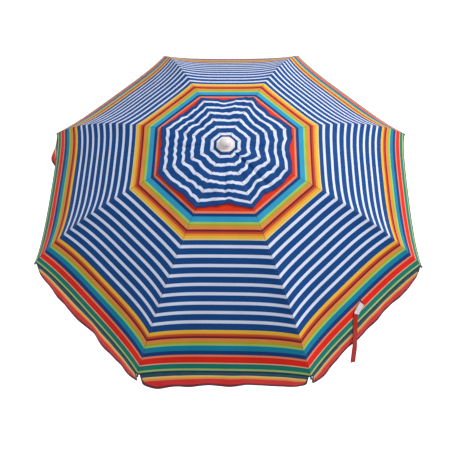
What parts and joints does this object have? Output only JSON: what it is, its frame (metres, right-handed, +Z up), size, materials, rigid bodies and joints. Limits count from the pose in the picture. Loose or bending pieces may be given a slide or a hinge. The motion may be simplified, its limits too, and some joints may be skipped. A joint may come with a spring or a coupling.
{
  "type": "beach umbrella",
  "caption": "Domed beach umbrella with striped octagonal canopy, hanging valance, vent cap, folding ribs and stretchers, tilt joint and telescoping spiked pole.",
  "frame": {"origin": "on the pole's axis, at the lower end of the lower pole's wall, where the ground spike begins", "axes": "+Z up the pole; -Y towards the middle of one side of the octagon, which is the side that the canopy tilts to; ribs at 22.5 degrees and every 45 degrees from +X"},
  "size_m": [1.5374, 1.5374, 2.2169],
  "materials": {
    "pole_paint": "gloss white powder coat",
    "white_plastic": "moulded, satin",
    "grey_plastic": "moulded, matte",
    "tilt_metal": "gloss white",
    "pin_steel": "zinc plated",
    "spring_steel": "bright wire",
    "rib_steel": "white lacquer",
    "green_plastic": "moulded",
    "canopy_cloth": "woven polyester with printed stripes",
    "red_webbing": "ribbed webbing"
  },
  "bodies": {
    "lower_pole": {"lower_pole": "pole_paint", "ground_spike": "grey_plastic", "height_collar": "white_plastic"},
    "height_knob": {"height_knob": "white_plastic"},
    "mid_pole": {"mid_pole": "pole_paint", "tilt_base": "tilt_metal"},
    "top_pole": {"top_pole": "pole_paint", "tilt_head": "tilt_metal", "tilt_pin": "pin_steel", "tilt_button_spring": "spring_steel", "crown": "white_plastic", "rib_pins": "pin_steel", "finial": "white_plastic", "vent_cap": "canopy_cloth"},
    "tilt_button": {"tilt_button": "grey_plastic"},
    "runner": {"runner": "white_plastic", "stretcher_pins": "pin_steel", "runner_button_spring": "spring_steel"},
    "runner_button": {"runner_button": "grey_plastic"},
    "rib_1": {"rib_1": "rib_steel", "rib_tip_1": "green_plastic"},
    "stretcher_1": {"stretcher_1": "rib_steel"},
    "rib_2": {"rib_2": "rib_steel", "rib_tip_2": "green_plastic"},
    "stretcher_2": {"stretcher_2": "rib_steel"},
    "rib_3": {"rib_3": "rib_steel", "rib_tip_3": "green_plastic"},
    "stretcher_3": {"stretcher_3": "rib_steel"},
    "rib_4": {"rib_4": "rib_steel", "rib_tip_4": "green_plastic"},
    "stretcher_4": {"stretcher_4": "rib_steel"},
    "rib_5": {"rib_5": "rib_steel", "rib_tip_5": "green_plastic"},
    "stretcher_5": {"stretcher_5": "rib_steel"},
    "rib_6": {"rib_6": "rib_steel", "rib_tip_6": "green_plastic"},
    "stretcher_6": {"stretcher_6": "rib_steel"},
    "rib_7": {"rib_7": "rib_steel", "rib_tip_7": "green_plastic"},
    "stretcher_7": {"stretcher_7": "rib_steel"},
    "rib_8": {"rib_8": "rib_steel", "rib_tip_8": "green_plastic"},
    "stretcher_8": {"stretcher_8": "rib_steel"},
    "panel_1_right": {"panel_1_right": "canopy_cloth"},
    "panel_1_left": {"panel_1_left": "canopy_cloth"},
    "panel_2_right": {"panel_2_right": "canopy_cloth"},
    "panel_2_left": {"panel_2_left": "canopy_cloth"},
    "panel_3_right": {"panel_3_right": "canopy_cloth"},
    "panel_3_left": {"panel_3_left": "canopy_cloth"},
    "panel_4_right": {"panel_4_right": "canopy_cloth"},
    "panel_4_left": {"panel_4_left": "canopy_cloth"},
    "panel_5_right": {"panel_5_right": "canopy_cloth"},
    "panel_5_left": {"panel_5_left": "canopy_cloth"},
    "panel_6_right": {"panel_6_right": "canopy_cloth"},
    "panel_6_left": {"panel_6_left": "canopy_cloth"},
    "panel_7_right": {"panel_7_right": "canopy_cloth"},
    "panel_7_left": {"panel_7_left": "canopy_cloth"},
    "panel_8_right": {"panel_8_right": "canopy_cloth"},
    "panel_8_left": {"panel_8_left": "canopy_cloth"},
    "tie_strap": {"tie_strap": "red_webbing"}
  },
  "joints": [
    {"name": "pole_height", "type": "slide", "parent": "lower_pole", "child": "mid_pole", "axis": [0, 0, 1], "range_m": [-0.3, 0]},
    {"name": "height_knob_turn", "type": "hinge", "parent": "lower_pole", "child": "height_knob", "pos_m": [0.031, 0, 0.774], "axis": [1, 0, 0], "range_deg": [0, 360]},
    {"name": "tilt", "type": "hinge", "parent": "mid_pole", "child": "top_pole", "pos_m": [0, 0, 1.14], "axis": [1, 0, 0], "range_deg": [0, 35]},
    {"name": "tilt_button_press", "type": "slide", "parent": "top_pole", "child": "tilt_button", "axis": [0, -1, 0], "range_m": [0, 0.0035], "stiffness_N_per_m": 600, "springref_m": -0.002, "deforming": ["tilt_button_spring"]},
    {"name": "runner_slide", "type": "slide", "parent": "top_pole", "child": "runner", "axis": [0, 0, -1], "range_m": [0, 0.46742], "deforming": ["vent_cap"]},
    {"name": "runner_button_press", "type": "slide", "parent": "runner", "child": "runner_button", "axis": [-1, 0, 0], "range_m": [0, 0.003], "stiffness_N_per_m": 500, "springref_m": -0.002, "deforming": ["runner_button_spring"]},
    {"name": "rib_1_hinge", "type": "hinge", "parent": "top_pole", "child": "rib_1", "pos_m": [0.01709, 0.00708, 2.08], "axis": [-0.3827, 0.9239, 0], "range_deg": [0, 62.45]},
    {"name": "stretcher_1_hinge", "type": "hinge", "parent": "runner", "child": "stretcher_1", "pos_m": [0.0166, 0.01218, 1.88], "axis": [0.3827, -0.9239, 0], "range_deg": [0, 52.37]},
    {"name": "rib_2_hinge", "type": "hinge", "parent": "top_pole", "child": "rib_2", "pos_m": [0.00708, 0.01709, 2.08], "axis": [-0.9239, 0.3827, 0], "range_deg": [0, 62.45]},
    {"name": "stretcher_2_hinge", "type": "hinge", "parent": "runner", "child": "stretcher_2", "pos_m": [0.00313, 0.02035, 1.88], "axis": [0.9239, -0.3827, 0], "range_deg": [0, 52.37]},
    {"name": "rib_3_hinge", "type": "hinge", "parent": "top_pole", "child": "rib_3", "pos_m": [-0.00708, 0.01709, 2.08], "axis": [-0.9239, -0.3827, 0], "range_deg": [0, 62.45]},
    {"name": "stretcher_3_hinge", "type": "hinge", "parent": "runner", "child": "stretcher_3", "pos_m": [-0.01218, 0.0166, 1.88], "axis": [0.9239, 0.3827, 0], "range_deg": [0, 52.37]},
    {"name": "rib_4_hinge", "type": "hinge", "parent": "top_pole", "child": "rib_4", "pos_m": [-0.01709, 0.00708, 2.08], "axis": [-0.3827, -0.9239, 0], "range_deg": [0, 62.45]},
    {"name": "stretcher_4_hinge", "type": "hinge", "parent": "runner", "child": "stretcher_4", "pos_m": [-0.02035, 0.00313, 1.88], "axis": [0.3827, 0.9239, 0], "range_deg": [0, 52.37]},
    {"name": "rib_5_hinge", "type": "hinge", "parent": "top_pole", "child": "rib_5", "pos_m": [-0.01709, -0.00708, 2.08], "axis": [0.3827, -0.9239, 0], "range_deg": [0, 62.45]},
    {"name": "stretcher_5_hinge", "type": "hinge", "parent": "runner", "child": "stretcher_5", "pos_m": [-0.0166, -0.01218, 1.88], "axis": [-0.3827, 0.9239, 0], "range_deg": [0, 52.37]},
    {"name": "rib_6_hinge", "type": "hinge", "parent": "top_pole", "child": "rib_6", "pos_m": [-0.00708, -0.01709, 2.08], "axis": [0.9239, -0.3827, 0], "range_deg": [0, 62.45]},
    {"name": "stretcher_6_hinge", "type": "hinge", "parent": "runner", "child": "stretcher_6", "pos_m": [-0.00313, -0.02035, 1.88], "axis": [-0.9239, 0.3827, 0], "range_deg": [0, 52.37]},
    {"name": "rib_7_hinge", "type": "hinge", "parent": "top_pole", "child": "rib_7", "pos_m": [0.00708, -0.01709, 2.08], "axis": [0.9239, 0.3827, 0], "range_deg": [0, 62.45]},
    {"name": "stretcher_7_hinge", "type": "hinge", "parent": "runner", "child": "stretcher_7", "pos_m": [0.01218, -0.0166, 1.88], "axis": [-0.9239, -0.3827, 0], "range_deg": [0, 52.37]},
    {"name": "rib_8_hinge", "type": "hinge", "parent": "top_pole", "child": "rib_8", "pos_m": [0.01709, -0.00708, 2.08], "axis": [0.3827, 0.9239, 0], "range_deg": [0, 62.45]},
    {"name": "stretcher_8_hinge", "type": "hinge", "parent": "runner", "child": "stretcher_8", "pos_m": [0.02035, -0.00313, 1.88], "axis": [-0.3827, -0.9239, 0], "range_deg": [0, 52.37]},
    {"name": "panel_1_right_fold", "type": "hinge", "parent": "rib_2", "child": "panel_1_right", "pos_m": [0.01416, 0.01416, 2.08], "axis": [0.845, 0.3585, 0.3968], "range_deg": [0, 24.39], "deforming": ["panel_1_right"]},
    {"name": "panel_1_left_fold", "type": "hinge", "parent": "rib_1", "child": "panel_1_left", "pos_m": [0.01416, 0.01416, 2.08], "axis": [-0.3585, -0.845, -0.3968], "range_deg": [0, 24.39], "deforming": ["panel_1_left"]},
    {"name": "panel_2_right_fold", "type": "hinge", "parent": "rib_3", "child": "panel_2_right", "pos_m": [0, 0.02002, 2.08], "axis": [0.344, 0.851, 0.3968], "range_deg": [0, 24.39], "deforming": ["panel_2_right"]},
    {"name": "panel_2_left_fold", "type": "hinge", "parent": "rib_2", "child": "panel_2_left", "pos_m": [0, 0.02002, 2.08], "axis": [0.344, -0.851, -0.3968], "range_deg": [0, 24.39], "deforming": ["panel_2_left"]},
    {"name": "panel_3_right_fold", "type": "hinge", "parent": "rib_4", "child": "panel_3_right", "pos_m": [-0.01416, 0.01416, 2.08], "axis": [-0.3585, 0.845, 0.3968], "range_deg": [0, 24.39], "deforming": ["panel_3_right"]},
    {"name": "panel_3_left_fold", "type": "hinge", "parent": "rib_3", "child": "panel_3_left", "pos_m": [-0.01416, 0.01416, 2.08], "axis": [0.845, -0.3585, -0.3968], "range_deg": [0, 24.39], "deforming": ["panel_3_left"]},
    {"name": "panel_4_right_fold", "type": "hinge", "parent": "rib_5", "child": "panel_4_right", "pos_m": [-0.02002, 0, 2.08], "axis": [-0.851, 0.344, 0.3968], "range_deg": [0, 24.39], "deforming": ["panel_4_right"]},
    {"name": "panel_4_left_fold", "type": "hinge", "parent": "rib_4", "child": "panel_4_left", "pos_m": [-0.02002, 0, 2.08], "axis": [0.851, 0.344, -0.3968], "range_deg": [0, 24.39], "deforming": ["panel_4_left"]},
    {"name": "panel_5_right_fold", "type": "hinge", "parent": "rib_6", "child": "panel_5_right", "pos_m": [-0.01416, -0.01416, 2.08], "axis": [-0.845, -0.3585, 0.3968], "range_deg": [0, 24.39], "deforming": ["panel_5_right"]},
    {"name": "panel_5_left_fold", "type": "hinge", "parent": "rib_5", "child": "panel_5_left", "pos_m": [-0.01416, -0.01416, 2.08], "axis": [0.3585, 0.845, -0.3968], "range_deg": [0, 24.39], "deforming": ["panel_5_left"]},
    {"name": "panel_6_right_fold", "type": "hinge", "parent": "rib_7", "child": "panel_6_right", "pos_m": [0, -0.02002, 2.08], "axis": [-0.344, -0.851, 0.3968], "range_deg": [0, 24.39], "deforming": ["panel_6_right"]},
    {"name": "panel_6_left_fold", "type": "hinge", "parent": "rib_6", "child": "panel_6_left", "pos_m": [0, -0.02002, 2.08], "axis": [-0.344, 0.851, -0.3968], "range_deg": [0, 24.39], "deforming": ["panel_6_left"]},
    {"name": "panel_7_right_fold", "type": "hinge", "parent": "rib_8", "child": "panel_7_right", "pos_m": [0.01416, -0.01416, 2.08], "axis": [0.3585, -0.845, 0.3968], "range_deg": [0, 24.39], "deforming": ["panel_7_right"]},
    {"name": "panel_7_left_fold", "type": "hinge", "parent": "rib_7", "child": "panel_7_left", "pos_m": [0.01416, -0.01416, 2.08], "axis": [-0.845, 0.3585, -0.3968], "range_deg": [0, 24.39], "deforming": ["panel_7_left"]},
    {"name": "panel_8_right_fold", "type": "hinge", "parent": "rib_1", "child": "panel_8_right", "pos_m": [0.02002, 0, 2.08], "axis": [0.851, -0.344, 0.3968], "range_deg": [0, 24.39], "deforming": ["panel_8_right"]},
    {"name": "panel_8_left_fold", "type": "hinge", "parent": "rib_8", "child": "panel_8_left", "pos_m": [0.02002, 0, 2.08], "axis": [-0.851, -0.344, -0.3968], "range_deg": [0, 24.39], "deforming": ["panel_8_left"]},
    {"name": "tie_strap_swing", "type": "hinge", "parent": "panel_7_left", "child": "tie_strap", "pos_m": [0.50795, -0.48815, 1.78043], "axis": [-0.4967, 0.4967, 0.7117], "range_deg": [0, 90]}
  ],
  "couplings": [
    {"joint": "rib_1_hinge", "follows": "runner_slide", "rad_per_m": 2.3319},
    {"joint": "stretcher_1_hinge", "follows": "runner_slide", "rad_per_m": 1.9555},
    {"joint": "rib_2_hinge", "follows": "runner_slide", "rad_per_m": 2.3319},
    {"joint": "stretcher_2_hinge", "follows": "runner_slide", "rad_per_m": 1.9555},
    {"joint": "rib_3_hinge", "follows": "runner_slide", "rad_per_m": 2.3319},
    {"joint": "stretcher_3_hinge", "follows": "runner_slide", "rad_per_m": 1.9555},
    {"joint": "rib_4_hinge", "follows": "runner_slide", "rad_per_m": 2.3319},
    {"joint": "stretcher_4_hinge", "follows": "runner_slide", "rad_per_m": 1.9555},
    {"joint": "rib_5_hinge", "follows": "runner_slide", "rad_per_m": 2.3319},
    {"joint": "stretcher_5_hinge", "follows": "runner_slide", "rad_per_m": 1.9555},
    {"joint": "rib_6_hinge", "follows": "runner_slide", "rad_per_m": 2.3319},
    {"joint": "stretcher_6_hinge", "follows": "runner_slide", "rad_per_m": 1.9555},
    {"joint": "rib_7_hinge", "follows": "runner_slide", "rad_per_m": 2.3319},
    {"joint": "stretcher_7_hinge", "follows": "runner_slide", "rad_per_m": 1.9555},
    {"joint": "rib_8_hinge", "follows": "runner_slide", "rad_per_m": 2.3319},
    {"joint": "stretcher_8_hinge", "follows": "runner_slide", "rad_per_m": 1.9555},
    {"joint": "panel_1_right_fold", "follows": "runner_slide", "rad_per_m": 0.9109},
    {"joint": "panel_1_left_fold", "follows": "runner_slide", "rad_per_m": 0.9109},
    {"joint": "panel_2_right_fold", "follows": "runner_slide", "rad_per_m": 0.9109},
    {"joint": "panel_2_left_fold", "follows": "runner_slide", "rad_per_m": 0.9109},
    {"joint": "panel_3_right_fold", "follows": "runner_slide", "rad_per_m": 0.9109},
    {"joint": "panel_3_left_fold", "follows": "runner_slide", "rad_per_m": 0.9109},
    {"joint": "panel_4_right_fold", "follows": "runner_slide", "rad_per_m": 0.9109},
    {"joint": "panel_4_left_fold", "follows": "runner_slide", "rad_per_m": 0.9109},
    {"joint": "panel_5_right_fold", "follows": "runner_slide", "rad_per_m": 0.9109},
    {"joint": "panel_5_left_fold", "follows": "runner_slide", "rad_per_m": 0.9109},
    {"joint": "panel_6_right_fold", "follows": "runner_slide", "rad_per_m": 0.9109},
    {"joint": "panel_6_left_fold", "follows": "runner_slide", "rad_per_m": 0.9109},
    {"joint": "panel_7_right_fold", "follows": "runner_slide", "rad_per_m": 0.9109},
    {"joint": "panel_7_left_fold", "follows": "runner_slide", "rad_per_m": 0.9109},
    {"joint": "panel_8_right_fold", "follows": "runner_slide", "rad_per_m": 0.9109},
    {"joint": "panel_8_left_fold", "follows": "runner_slide", "rad_per_m": 0.9109}
  ]
}
